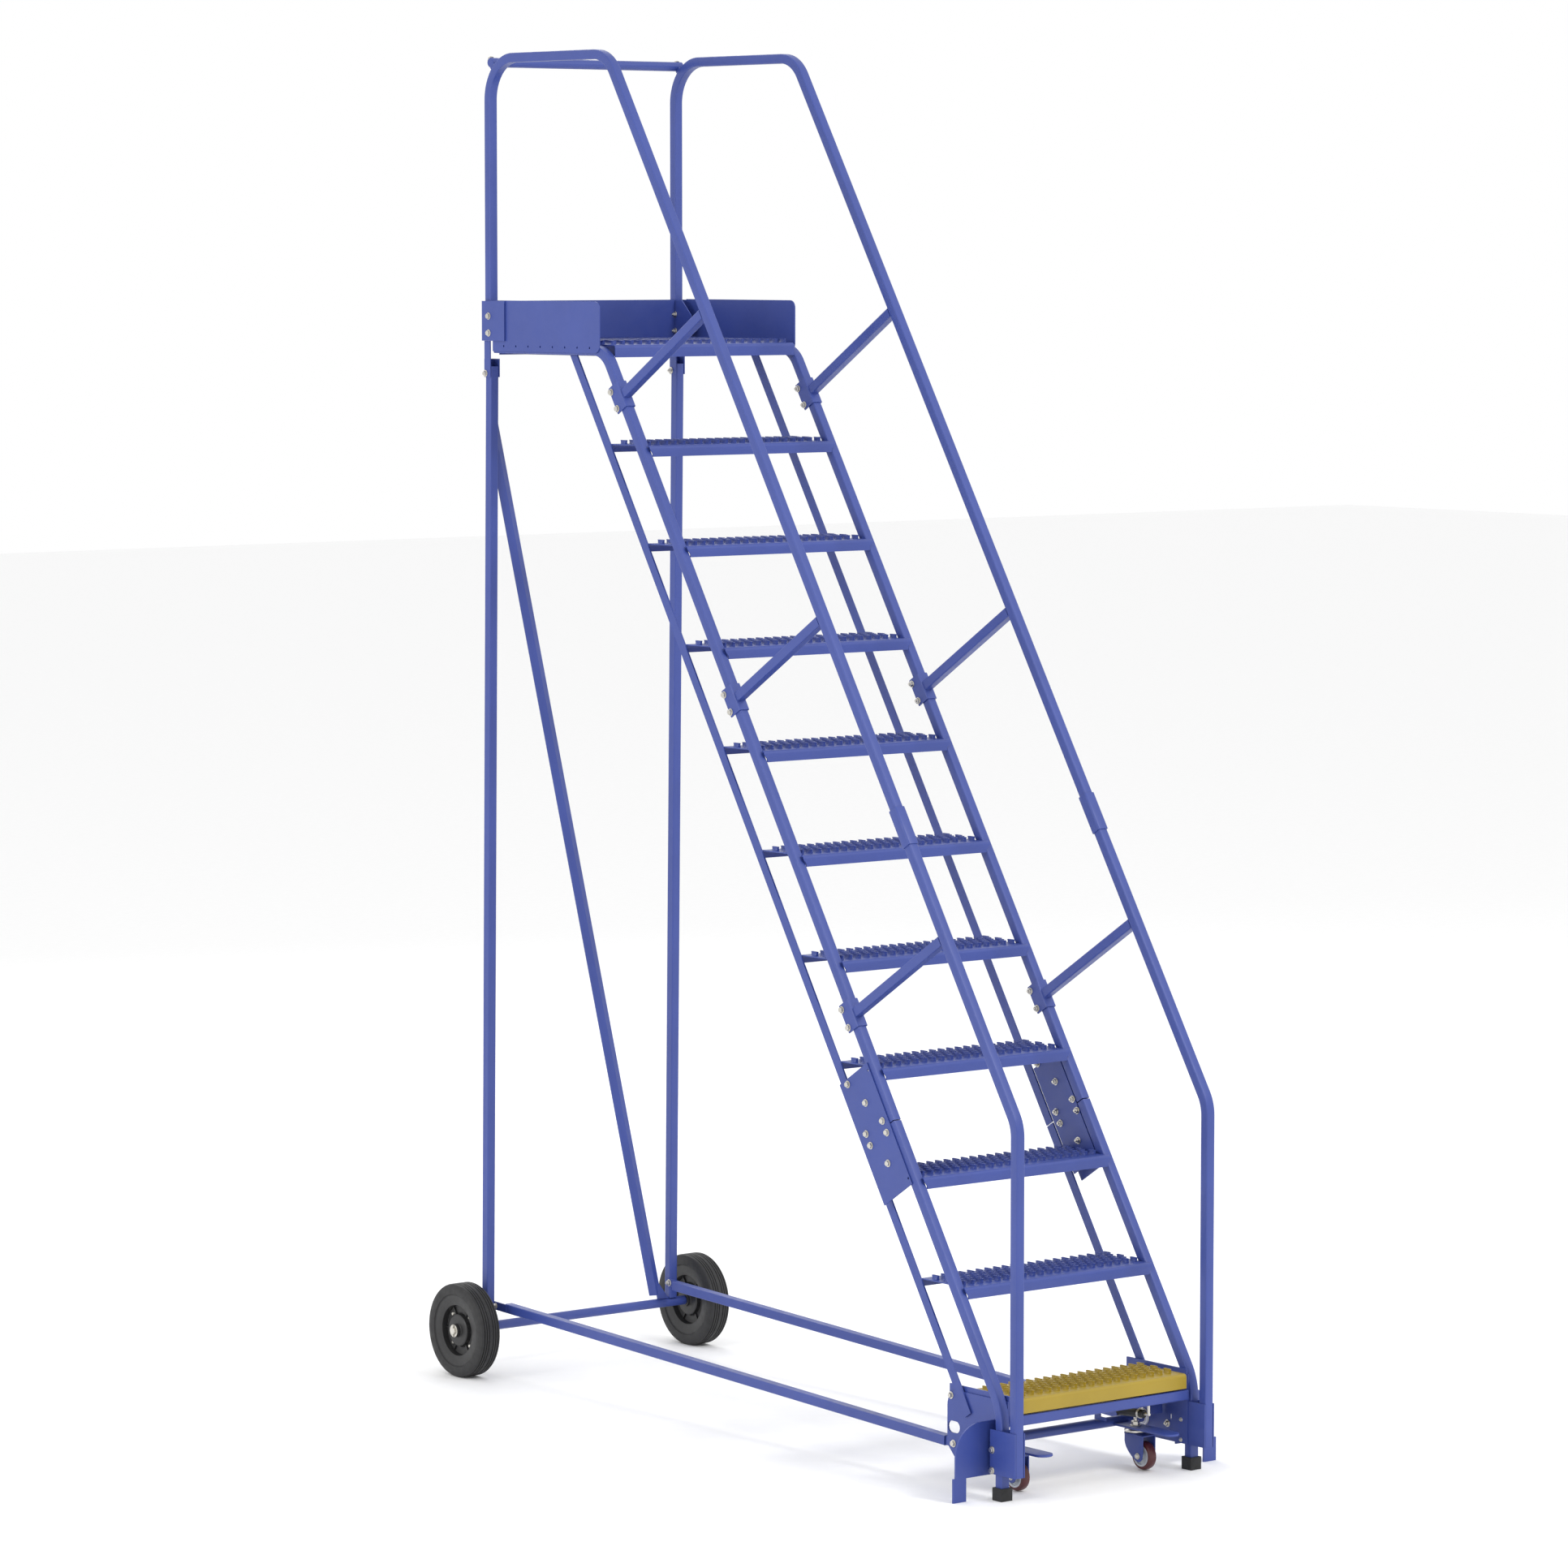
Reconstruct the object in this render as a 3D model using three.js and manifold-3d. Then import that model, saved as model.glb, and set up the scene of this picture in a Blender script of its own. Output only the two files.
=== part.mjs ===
// Rolling warehouse ladder with eleven levels, a platform, handrails and a pedal-worked lock-step.
// Millimetres. x runs across the ladder, y from front to back and z up from the floor.
// While it is built, y = 0 is the front edge of the second step. The whole group is then moved so
// that the origin is on the floor, below the middle of the ladder.
import * as THREE from 'three';
import { mergeVertices } from 'three/addons/utils/BufferGeometryUtils.js';
import Module from 'manifold-3d';

const wasm = await Module();
wasm.setup();

// ---- driving dimensions: stair
const RISE = 254;                 // height from one level to the next
const GOING = 159.8;              // depth from one step's front edge to the next
const LEVELS = 11;
const LIP = 33;                   // height of a step's front flange
const REAR_LIP = 26;
const NOSE_OVERHANG = 1.5;        // how far a step's front edge stands before the going line
const STEP_HALF_WIDTH = 297.5;
const STEP_DEPTH = 189.5;
const SHEET = 2.6;                // thickness of a step's sheet steel
const NOSE = 9;                   // radius of a step's front and rear folds
const PLATFORM_Z = LEVELS * RISE;
const PLATFORM_FRONT = 1438;
const PLATFORM_REAR = 1957.7;
const BOTTOM_STEP = { halfWidth: 280.5, depth: 185, frontLip: 45, rearLip: 30 };

// ---- driving dimensions: frame
const TUBE = 25.4;                // side of every square tube
const WALL = 2;
const TUBE_RADIUS = 3;
const GAP = 0.3;                  // clearance between pieces that touch
const PLATE = 2.9;                // thickness of bolted plates
const SIDE_X = 310.5;             // centre of stringers and handrails
const RAIL_Z = PLATFORM_Z + 753.4;
const RAIL_BENDS = { foot: 100, front: 97, rear: 110 };
const STRINGER_BENDS = { foot: 150, platform: 80 };
const POST_FRONT_Y = -199.6;
const POST_REAR_Y = 1974;
const POST_FOOT_Z = 64;
const FOOT_Y = -146.6;
const HANDRAIL_OFFSET = -483.9;   // horizontal distance of a sloping line behind the step edges
const STRINGER_OFFSET = 12.1;
const BAR_OFFSET = 175.4;
const BAR_THICKNESS = 4.8;
const STRINGER_TOP_Z = PLATFORM_Z - 15.4;
const STRINGER_REAR = 1947;
const SPLICE_S = 490;             // where the stringers are joined, measured along the slope
const SPLICE_GAP = 3;
const SLEEVE_S = 1096;            // where the handrails are joined
const SLEEVE_LENGTH = 103.5;
const KICK_HEIGHT = 112;

// ---- driving dimensions: base, wheels and lock-step
const AXLE_Y = 2008;
const WHEEL_RADIUS = 127;
const WHEEL_X = 391;
const UPRIGHT_X = 311.4;
const UPRIGHT_LEAN = -0.0145;     // change of y with height
const SHAFT_Y = 15;
const SHAFT_Z = 110;
const PEDAL_X = 208;
const STEM_Y = -51;
const CASTER_Y = -84;
const CASTER_Z = 37.2;
const CASTER_RADIUS = 36;
const FRAME_CENTRE_Y = (POST_FRONT_Y - TUBE / 2 + AXLE_Y + WHEEL_RADIUS) / 2;

// ---- sloping lines
const SLOPE = GOING / RISE;
const ANGLE = Math.atan2(RISE, GOING);
const SLOPE_Z = 2 * RISE - LIP;   // height at which a line's offset is measured
const half = TUBE / 2;

function slopeY(offset, z) {
  return offset + (z - SLOPE_Z) * SLOPE;
}

function slopeZ(offset, y) {
  return SLOPE_Z + (y - offset) / SLOPE;
}

// A point s along the slope, on the line with the given offset.
function onSlope(s, offset) {
  const y = s * Math.cos(ANGLE) + offset * Math.sin(ANGLE) ** 2;
  const z = SLOPE_Z + s * Math.sin(ANGLE) - offset * Math.sin(ANGLE) * Math.cos(ANGLE);
  return [y, z];
}

// ---- materials
function paint(color, roughness = 0.45, metalness = 0.1) {
  return () => new THREE.MeshStandardMaterial({ color, roughness, metalness });
}

const blue = paint(0x5361ab);
const yellow = paint(0xc4ab3c);
const rubber = paint(0x232323, 0.85, 0);
const tyre = paint(0x2a2a2a, 0.8, 0);
const maroon = paint(0x5f363a, 0.5, 0);

// ---- joining, cutting and mirroring
function bare(geometry) {
  const copy = geometry.clone();
  copy.deleteAttribute('normal');
  copy.deleteAttribute('uv');
  return mergeVertices(copy);
}

function solid(geometry) {
  const merged = bare(geometry);
  const vertProperties = new Float32Array(merged.attributes.position.array);
  const triVerts = new Uint32Array(merged.index.array);
  return new wasm.Manifold(new wasm.Mesh({ numProp: 3, vertProperties, triVerts }));
}

function geometryOf(manifold) {
  const mesh = manifold.getMesh();
  const geometry = new THREE.BufferGeometry();
  geometry.setAttribute('position', new THREE.BufferAttribute(mesh.vertProperties, 3));
  geometry.setIndex(new THREE.BufferAttribute(mesh.triVerts, 1));
  return geometry;
}

function joined(...geometries) {
  return geometryOf(geometries.map(solid).reduce((whole, next) => whole.add(next)));
}

function cut(geometry, ...tools) {
  return geometryOf(tools.map(solid).reduce((whole, tool) => whole.subtract(tool), solid(geometry)));
}

function mirrored(geometry) {
  const copy = bare(geometry);
  copy.scale(-1, 1, 1);
  const index = copy.index;
  for (let i = 0; i < index.count; i += 3) {
    const first = index.getX(i);
    index.setX(i, index.getX(i + 2));
    index.setX(i + 2, first);
  }
  return copy;
}

// ---- outlines
function rectangle(width, height, radius = 0) {
  const shape = new THREE.Shape();
  const x = width / 2 - radius;
  const y = height / 2 - radius;
  const corners = [[x, y], [-x, y], [-x, -y], [x, -y]];
  corners.forEach(([cx, cy], quarter) => {
    if (radius > 0) {
      shape.absarc(cx, cy, radius, quarter * Math.PI / 2, (quarter + 1) * Math.PI / 2);
    } else if (quarter === 0) {
      shape.moveTo(cx, cy);
    } else {
      shape.lineTo(cx, cy);
    }
  });
  shape.closePath();
  return shape;
}

function circle(x, y, radius) {
  return new THREE.Shape().absarc(x, y, radius, 0, 2 * Math.PI);
}

// A slot with round ends, standing upright when height is more than width.
function obround(x, y, width, height) {
  const radius = Math.min(width, height) / 2;
  const dx = width / 2 - radius;
  const dy = height / 2 - radius;
  const shape = new THREE.Shape();
  const start = dx > 0 ? -Math.PI / 2 : 0;
  shape.absarc(x + dx, y + dy, radius, start, start + Math.PI);
  shape.absarc(x - dx, y - dy, radius, start + Math.PI, start + 2 * Math.PI);
  shape.closePath();
  return shape;
}

// A closed outline through points; a point with a third value gets a corner of that radius.
function outline(points, holes = []) {
  const shape = new THREE.Shape();
  points.forEach(([x, y, radius], index) => {
    const here = new THREE.Vector2(x, y);
    if (!radius) {
      if (index === 0) shape.moveTo(x, y);
      else shape.lineTo(x, y);
      return;
    }
    const before = new THREE.Vector2(...points.at(index - 1)).sub(here).normalize();
    const after = new THREE.Vector2(...points[(index + 1) % points.length]).sub(here).normalize();
    const inside = Math.acos(before.dot(after)) / 2;
    const middle = before.clone().add(after).normalize();
    const centre = here.clone().addScaledVector(middle, radius / Math.sin(inside));
    const start = here.clone().addScaledVector(before, radius / Math.tan(inside)).sub(centre);
    const end = here.clone().addScaledVector(after, radius / Math.tan(inside)).sub(centre);
    const clockwise = start.cross(end) < 0;
    shape.absarc(centre.x, centre.y, radius, start.angle(), end.angle(), clockwise);
  });
  shape.closePath();
  shape.holes = holes;
  return shape;
}

// ---- solids from outlines
function extruded(shape, depth, curveSegments = 4) {
  return new THREE.ExtrudeGeometry(shape, { depth, bevelEnabled: false, curveSegments });
}

// Outline in y and z, thick along x.
function plateX(shape, x0, x1, curveSegments) {
  const axes = new THREE.Matrix4().set(0, 0, 1, x0, 1, 0, 0, 0, 0, 1, 0, 0, 0, 0, 0, 1);
  return extruded(shape, x1 - x0, curveSegments).applyMatrix4(axes);
}

// Outline in x and z, thick along y.
function plateY(shape, y0, y1, curveSegments) {
  const axes = new THREE.Matrix4().set(1, 0, 0, 0, 0, 0, -1, y1, 0, 1, 0, 0, 0, 0, 0, 1);
  return extruded(shape, y1 - y0, curveSegments).applyMatrix4(axes);
}

// Outline in x and y, thick along z.
function plateZ(shape, z0, z1, curveSegments) {
  return extruded(shape, z1 - z0, curveSegments).translate(0, 0, z0);
}

function box(x0, x1, y0, y1, z0, z1) {
  const geometry = new THREE.BoxGeometry(x1 - x0, y1 - y0, z1 - z0);
  return geometry.translate((x0 + x1) / 2, (y0 + y1) / 2, (z0 + z1) / 2);
}

function rodX(radius, x0, x1, y, z, sides = 12) {
  const geometry = new THREE.CylinderGeometry(radius, radius, x1 - x0, sides);
  return geometry.rotateZ(Math.PI / 2).translate((x0 + x1) / 2, y, z);
}

function rodZ(radius, x, y, z0, z1, sides = 12) {
  const geometry = new THREE.CylinderGeometry(radius, radius, z1 - z0, sides);
  return geometry.rotateX(Math.PI / 2).translate(x, y, (z0 + z1) / 2);
}

// A ring turned about an axis along x; the outline holds [radius, x] pairs.
function turnedX(points, sides, x, y, z) {
  const loop = [...points, points[0]].map(([radius, along]) => new THREE.Vector2(radius, along));
  const geometry = new THREE.LatheGeometry(loop, sides, Math.PI / sides);
  return geometry.rotateZ(-Math.PI / 2).translate(x, y, z);
}

// ---- tubes
// The centre line of a bent tube: straight runs joined by circular bends. It has a station only
// where the tube starts, ends or bends.
class BentLine extends THREE.Curve {
  constructor(corners, facets = 5) {
    super();
    this.stations = [];
    const points = corners.map(([y, z]) => new THREE.Vector3(SIDE_X, y, z));
    points.forEach((point, index) => {
      const before = points[Math.max(index - 1, 0)];
      const after = points[Math.min(index + 1, points.length - 1)];
      const radius = corners[index][2];
      if (!radius) {
        this.stations.push({ point, tangent: after.clone().sub(before).normalize() });
        return;
      }
      const into = point.clone().sub(before).normalize();
      const out = after.clone().sub(point).normalize();
      const turn = into.angleTo(out);
      const start = point.clone().addScaledVector(into, -radius * Math.tan(turn / 2));
      const inward = out.clone().addScaledVector(into, -Math.cos(turn)).normalize();
      for (let k = 0; k <= facets; k += 1) {
        const angle = turn * k / facets;
        const at = start.clone().addScaledVector(inward, radius * (1 - Math.cos(angle)));
        at.addScaledVector(into, radius * Math.sin(angle));
        const tangent = into.clone().multiplyScalar(Math.cos(angle));
        tangent.addScaledVector(inward, Math.sin(angle));
        this.stations.push({ point: at, tangent });
      }
    });
  }

  getSpacedPoints() {
    return this.stations.map(({ point }) => point);
  }

  getTangentAt(u, target = new THREE.Vector3()) {
    return target.copy(this.stations[Math.round(u * (this.stations.length - 1))].tangent);
  }
}

function squareSection(side = TUBE, inner = TUBE - 2 * WALL, radius = TUBE_RADIUS) {
  const section = rectangle(side, side, radius);
  section.holes.push(rectangle(inner, inner));
  return section;
}

function bentTube(corners, facets) {
  const line = new BentLine(corners, facets);
  const steps = line.stations.length - 1;
  const options = { extrudePath: line, steps, curveSegments: 1, bevelEnabled: false };
  return new THREE.ExtrudeGeometry(squareSection(), options);
}

// A straight square tube between two points.
function straightTube(start, end, section = squareSection()) {
  const from = new THREE.Vector3(...start);
  const along = new THREE.Vector3(...end).sub(from);
  const geometry = extruded(section, along.length(), 1);
  const direction = along.clone().normalize();
  const across = Math.abs(direction.x) < 0.5 ? new THREE.Vector3(1, 0, 0) : new THREE.Vector3(0, 1, 0);
  const side = across.addScaledVector(direction, -across.dot(direction)).normalize();
  const up = new THREE.Vector3().crossVectors(direction, side);
  const frame = new THREE.Matrix4().makeBasis(side, up, direction).setPosition(from);
  return geometry.applyMatrix4(frame);
}

// ---- assembly
const ladder = new THREE.Group();
ladder.position.y = -FRAME_CENTRE_Y;

function add(name, geometry, material) {
  const mesh = new THREE.Mesh(geometry, material());
  mesh.name = name;
  ladder.add(mesh);
}

function addPair(name, rightGeometry, material) {
  add(`${name}_right`, rightGeometry, material);
  add(`${name}_left`, mirrored(rightGeometry), material);
}

// ---- handrails
const railCorner = slopeY(HANDRAIL_OFFSET, RAIL_Z);
const postCorner = slopeZ(HANDRAIL_OFFSET, POST_FRONT_Y);

function handrailLower() {
  const line = [[POST_FRONT_Y, POST_FOOT_Z], [POST_FRONT_Y, postCorner, RAIL_BENDS.foot]];
  const tube = bentTube([...line, onSlope(SLEEVE_S - 0.5, HANDRAIL_OFFSET)]);
  const top = POST_FOOT_Z + 110;
  const front = POST_FRONT_Y - half;
  const holes = [circle(front + 34, POST_FOOT_Z + 60.5, 5)];
  const plate = [[front, POST_FOOT_Z], [-118, POST_FOOT_Z], [-118, top], [front, top]];
  const outer = plateX(outline(plate, holes), SIDE_X + half + GAP, SIDE_X + half + GAP + PLATE);
  const innerX = SIDE_X - half - GAP;
  const inner = box(innerX - PLATE, innerX, front, -151.5, POST_FOOT_Z, top);
  const welds = [-half, half].map((x) => box(
    SIDE_X + x - 1, SIDE_X + x + 1, front + 4, front + 22, POST_FOOT_Z + 2, top - 2));
  return joined(tube, outer, inner, ...welds);
}

function handrailUpper() {
  const start = onSlope(SLEEVE_S + 0.5, HANDRAIL_OFFSET);
  const bends = [[railCorner, RAIL_Z, RAIL_BENDS.front], [POST_REAR_Y, RAIL_Z, RAIL_BENDS.rear]];
  return bentTube([start, ...bends, [POST_REAR_Y, PLATFORM_Z + 7]]);
}

function handrailSleeve() {
  const [y0, z0] = onSlope(SLEEVE_S - SLEEVE_LENGTH / 2, HANDRAIL_OFFSET);
  const [y1, z1] = onSlope(SLEEVE_S + SLEEVE_LENGTH / 2, HANDRAIL_OFFSET);
  return straightTube([SIDE_X, y0, z0], [SIDE_X, y1, z1], squareSection(31.4, TUBE + 2 * GAP, 4));
}

// A strut from the handrail to the stringer, with a U-clamp that wraps the stringer. It is drawn
// with its length along y and the slope along z, then turned onto the stringer.
function handrailSupport(z) {
  const clampWall = 3.2;
  const outside = half + GAP + clampWall;
  const inside = half + GAP;
  const back = half + 13.5;
  const length = 76;
  const reach = (STRINGER_OFFSET - HANDRAIL_OFFSET) * Math.sin(ANGLE) - half - GAP;
  const channel = outline([
    [-outside, -outside, 4], [outside, -outside, 4], [outside, back],
    [inside, back], [inside, -inside], [-inside, -inside], [-inside, back], [-outside, back],
  ]);
  const clamp = plateZ(channel, -length / 2, length / 2, 1);
  const strut = straightTube([0, -outside + 1, 0], [0, -reach, 0]);
  const bolts = [-25, 25].map((at) => rodX(4, -inside - 1, inside + 1, half + 8, at, 6));
  const support = joined(clamp, strut, ...bolts);
  const turn = new THREE.Matrix4().makeRotationX(ANGLE - Math.PI / 2);
  turn.setPosition(SIDE_X, slopeY(STRINGER_OFFSET, z), z);
  return support.applyMatrix4(turn);
}

// The round bar behind the platform, on a saddle at each rear bend.
function rearCrossbar() {
  const bend = RAIL_BENDS.rear;
  const clearance = half + GAP;
  const direction = Math.PI / 4;
  const distance = bend + 2 * half + 5;
  const centreY = POST_REAR_Y - bend;
  const centreZ = RAIL_Z - bend;
  const y = centreY + distance * Math.cos(direction);
  const z = centreZ + distance * Math.sin(direction);
  const reach = 320;
  const bar = cut(rodX(half, -reach, reach, y, z, 16), rodX(half - WALL, -400, 400, y, z, 8));
  const saddle = box(-9, 9, -9, 9, 0, distance - half - bend - clearance + 2);
  const turn = new THREE.Matrix4().makeRotationX(direction - Math.PI / 2);
  saddle.applyMatrix4(turn);
  const inner = bend + clearance;
  const place = (x) => saddle.clone().translate(
    x, centreY + inner * Math.cos(direction), centreZ + inner * Math.sin(direction));
  return joined(bar, place(SIDE_X), place(-SIDE_X));
}

addPair('handrail_lower', handrailLower(), blue);
addPair('handrail_upper', handrailUpper(), blue);
addPair('handrail_sleeve', handrailSleeve(), blue);
for (const level of [1, 2, 3]) {
  const centre = 375 + level * 3 * RISE;
  addPair(`handrail_support_${level}`, handrailSupport(centre), blue);
}
add('rear_crossbar', rearCrossbar(), blue);

// ---- stringers
const footCorner = slopeZ(STRINGER_OFFSET, FOOT_Y);
const platformCorner = slopeY(STRINGER_OFFSET, STRINGER_TOP_Z);
const boot = { side: 36, height: 31.5, floor: 10 };

function frontStringerLower() {
  const foot = [FOOT_Y, boot.floor];
  const bend = [FOOT_Y, footCorner, STRINGER_BENDS.foot];
  return bentTube([foot, bend, onSlope(SPLICE_S - SPLICE_GAP / 2, STRINGER_OFFSET)]);
}

function frontStringerUpper() {
  const start = onSlope(SPLICE_S + SPLICE_GAP / 2, STRINGER_OFFSET);
  const bend = [platformCorner, STRINGER_TOP_Z, STRINGER_BENDS.platform];
  return bentTube([start, bend, [STRINGER_REAR, STRINGER_TOP_Z]]);
}

// Flat bars that carry the rear ends of the steps.
const barEdges = [BAR_OFFSET - half / Math.sin(ANGLE), BAR_OFFSET + half / Math.sin(ANGLE)];
const barX = SIDE_X - half;

function rearStringerLower() {
  const [front, rear] = barEdges;
  const ends = [-246, SPLICE_S - SPLICE_GAP / 2];
  const corners = [onSlope(ends[0], front), onSlope(ends[0], rear), onSlope(ends[1], rear)];
  corners.push(onSlope(ends[1], front));
  return plateX(outline(corners), barX, barX + BAR_THICKNESS);
}

function rearStringerUpper() {
  const [front, rear] = barEdges;
  const start = SPLICE_S + SPLICE_GAP / 2;
  const top = STRINGER_TOP_Z - half - GAP;
  const corners = [onSlope(start, front), onSlope(start, rear)];
  corners.push([slopeY(rear, top), top], [slopeY(front, top), top]);
  return plateX(outline(corners), barX, barX + BAR_THICKNESS);
}

// Outer plate over the stringer joint, an inner plate between the stringers, and the bolts
// that hold them together behind the tube.
function splicePlate() {
  const outer = [[-167, 15], [-167, 165.5], [167, 165.5], [167, 15]];
  const inner = [[-150, 31], [-150, 155], [150, 155], [150, 31]];
  const bolts = [[16, 40], [-16, 40], [16, 129], [-16, 129], [83.5, 83], [-83.5, 83], [154, 129.5]];
  const place = ([s, offset]) => onSlope(SPLICE_S + s, offset);
  const pinHoles = [[149, 22], [-149, 22]].map(place).map(([y, z]) => circle(y, z, 3.5));
  const outerX = SIDE_X + half + GAP;
  const cover = plateX(outline(outer.map(place), pinHoles), outerX, outerX + PLATE, 3);
  const backing = plateX(outline(inner.map(place)), barX + 1.2, barX + 4.5);
  const through = bolts.filter(([s]) => Math.abs(s) < 150).map(place);
  const rods = through.map(([y, z]) => rodX(5, barX + 2, outerX + 1, y, z, 6));
  return joined(cover, backing, ...rods);
}

function rubberFoot() {
  const block = plateZ(rectangle(boot.side, boot.side, 2), 0, boot.height, 1);
  const socket = TUBE / 2 + GAP;
  const pocket = box(-socket, socket, -socket, socket, boot.floor - GAP, boot.height + 10);
  return cut(block, pocket).translate(SIDE_X, FOOT_Y, 0);
}

addPair('front_stringer_lower', frontStringerLower(), blue);
addPair('front_stringer_upper', frontStringerUpper(), blue);
addPair('rear_stringer_lower', rearStringerLower(), blue);
addPair('rear_stringer_upper', rearStringerUpper(), blue);
addPair('splice_plate', splicePlate(), blue);
addPair('rubber_foot', rubberFoot(), rubber);

// ---- steps and platform
// Folded sheet: a flat top with rounded folds down to a front and a rear flange.
function foldedSheet(front, rear, top, frontLip, rearLip, halfWidth) {
  const outer = [
    [front, top - frontLip], [front, top, NOSE], [rear, top, NOSE], [rear, top - rearLip],
  ];
  const inner = [
    [rear - SHEET, top - rearLip], [rear - SHEET, top - SHEET, NOSE - SHEET],
    [front + SHEET, top - SHEET, NOSE - SHEET], [front + SHEET, top - frontLip],
  ];
  return plateX(outline([...outer, ...inner]), -halfWidth, halfWidth, 2);
}

// The front flange widens towards the top into an ear that laps the front of each stringer.
function flangeEars(front, top) {
  const root = STEP_HALF_WIDTH - 2;
  const tip = STEP_HALF_WIDTH + 9.5;
  const bottom = top - LIP + 8;
  const nose = top - NOSE;
  const foot = [[root, bottom], [STEP_HALF_WIDTH, bottom]];
  const ear = outline([...foot, [tip, nose - 2], [tip, nose], [root, nose]]);
  const right = plateY(ear, front, front + SHEET);
  return [right, mirrored(right)];
}

for (let level = 2; level < LEVELS; level += 1) {
  const front = (level - 2) * GOING - NOSE_OVERHANG;
  const top = level * RISE;
  const tread = foldedSheet(front, front + STEP_DEPTH, top, LIP, REAR_LIP, STEP_HALF_WIDTH);
  add(`step_${level}`, joined(tread, ...flangeEars(front, top)), blue);
}
const baseFront = -GOING;

function bottomStep() {
  const { halfWidth, depth, frontLip, rearLip } = BOTTOM_STEP;
  return foldedSheet(baseFront, baseFront + depth, RISE, frontLip, rearLip, halfWidth);
}
add('bottom_step', bottomStep(), yellow);

function platformDeck() {
  const deck = foldedSheet(PLATFORM_FRONT, PLATFORM_REAR, PLATFORM_Z, LIP, LIP, STEP_HALF_WIDTH);
  const front = PLATFORM_FRONT + 1;
  const rear = PLATFORM_REAR - 1;
  const floor = PLATFORM_Z - LIP;
  const ribs = [-190, 0, 190].map((x) => box(x - 20, x + 20, front, rear, floor, floor + SHEET));
  const webs = [-190, 0, 190].map((x) => box(
    x - SHEET / 2, x + SHEET / 2, front, rear, floor + 1, PLATFORM_Z - 1));
  return joined(deck, ...ribs, ...webs);
}
add('platform_deck', platformDeck(), blue);

// ---- kick plates and the brackets that hold the rear posts
const kickBottom = PLATFORM_Z - 23;
const kickTop = PLATFORM_Z + KICK_HEIGHT;
const kickX = SIDE_X + half + GAP;

function sideKickPlate() {
  const front = 1470;
  const radius = 20;
  const holes = [];
  for (let k = 0; k < 8; k += 1) {
    holes.push(circle(1896.4 - k * 54.8, PLATFORM_Z - 9, 3.2));
  }
  const corners = [[front, kickBottom, radius], [STRINGER_REAR, kickBottom]];
  corners.push([STRINGER_REAR, kickTop], [front, kickTop, radius]);
  return plateX(outline(corners, holes), kickX, kickX + PLATE, 3);
}

const bracketBottom = PLATFORM_Z + 4.3;
const bracketRear = POST_REAR_Y + half + GAP;

function postBracket() {
  const top = bracketBottom + 106;
  const outerX = kickX + PLATE + GAP;
  const innerX = SIDE_X - half - GAP;
  const outerPlate = box(outerX, outerX + 4.3, 1888, bracketRear + 3, bracketBottom, top);
  const web = box(innerX - 3, outerX + 4.3, bracketRear, bracketRear + 3, bracketBottom, top);
  const corners = [[1888, bracketBottom], [bracketRear + 3, bracketBottom], [bracketRear + 3, top]];
  corners.push([1930, top], [1888, top - 42]);
  return joined(outerPlate, web, plateX(outline(corners), innerX - 3, innerX));
}

addPair('kick_plate', sideKickPlate(), blue);
const rearKickX = SIDE_X - half - GAP - 3 - 2 * GAP;
add('kick_plate_rear', box(-rearKickX, rearKickX, 1958.3, 1961.3, kickBottom, kickTop - 1.5), blue);
addPair('post_bracket', postBracket(), blue);

// ---- rear frame
const uprightTop = 2730;
const axleZ = WHEEL_RADIUS;
const uprightY = (z) => AXLE_Y + (z - axleZ - half) * UPRIGHT_LEAN;

function rearUpright() {
  const bottom = axleZ + half + 2 * GAP;
  const foot = [UPRIGHT_X, uprightY(bottom), bottom];
  return straightTube(foot, [UPRIGHT_X, uprightY(uprightTop), uprightTop]);
}

// Channel at the top of an upright, open to the front. Its outer wall goes on up to the bracket.
function uprightSocket() {
  const bottom = uprightTop - 29;
  const channelTop = uprightTop + 20;
  const rear = uprightY(bottom) + half + GAP;
  const inside = half + GAP;
  const outside = inside + PLATE;
  const front = rear - 26;
  const channel = outline([
    [-outside, front], [-inside, front], [-inside, rear], [inside, rear],
    [inside, front], [outside, front], [outside, rear + PLATE, 3], [-outside, rear + PLATE, 3],
  ]);
  const wall = box(inside, outside, front, rear, channelTop - 1, PLATFORM_Z + 4);
  return joined(plateZ(channel, bottom, channelTop, 2), wall).translate(UPRIGHT_X, 0, 0);
}

// V-shaped strip from the left upright's top to the axle beside the right upright.
function diagonalBrace() {
  const top = new THREE.Vector3(-317.5, uprightY(2606), 2606);
  const bottom = new THREE.Vector3(258, uprightY(150), 150);
  const down = bottom.clone().sub(top);
  const direction = down.clone().normalize();
  const front = new THREE.Vector3(0, -1, 0);
  const across = new THREE.Vector3().crossVectors(front, direction).normalize();
  const normal = new THREE.Vector3().crossVectors(direction, across);
  const section = outline([
    [-19, 0], [0, 8], [19, 0], [19, -SHEET], [0, 8 - SHEET], [-19, -SHEET],
  ]);
  const overrun = 80;
  const strip = extruded(section, down.length() + 2 * overrun);
  const start = top.clone().addScaledVector(direction, -overrun);
  strip.applyMatrix4(new THREE.Matrix4().makeBasis(across, normal, direction).setPosition(start));
  const edge = UPRIGHT_X - half - GAP;
  const beyondUpright = box(-edge - 200, -edge, 1800, 2200, 2000, 3000);
  const belowAxle = box(0, 500, 1800, 2200, 0, 151);
  const gussetFoot = axleZ + half + GAP;
  const gussetShape = outline([[262, gussetFoot], [edge, gussetFoot], [250, 205]]);
  const gusset = plateY(gussetShape, AXLE_Y - 6, AXLE_Y - 2);
  return joined(cut(strip, beyondUpright, belowAxle), gusset);
}

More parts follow.
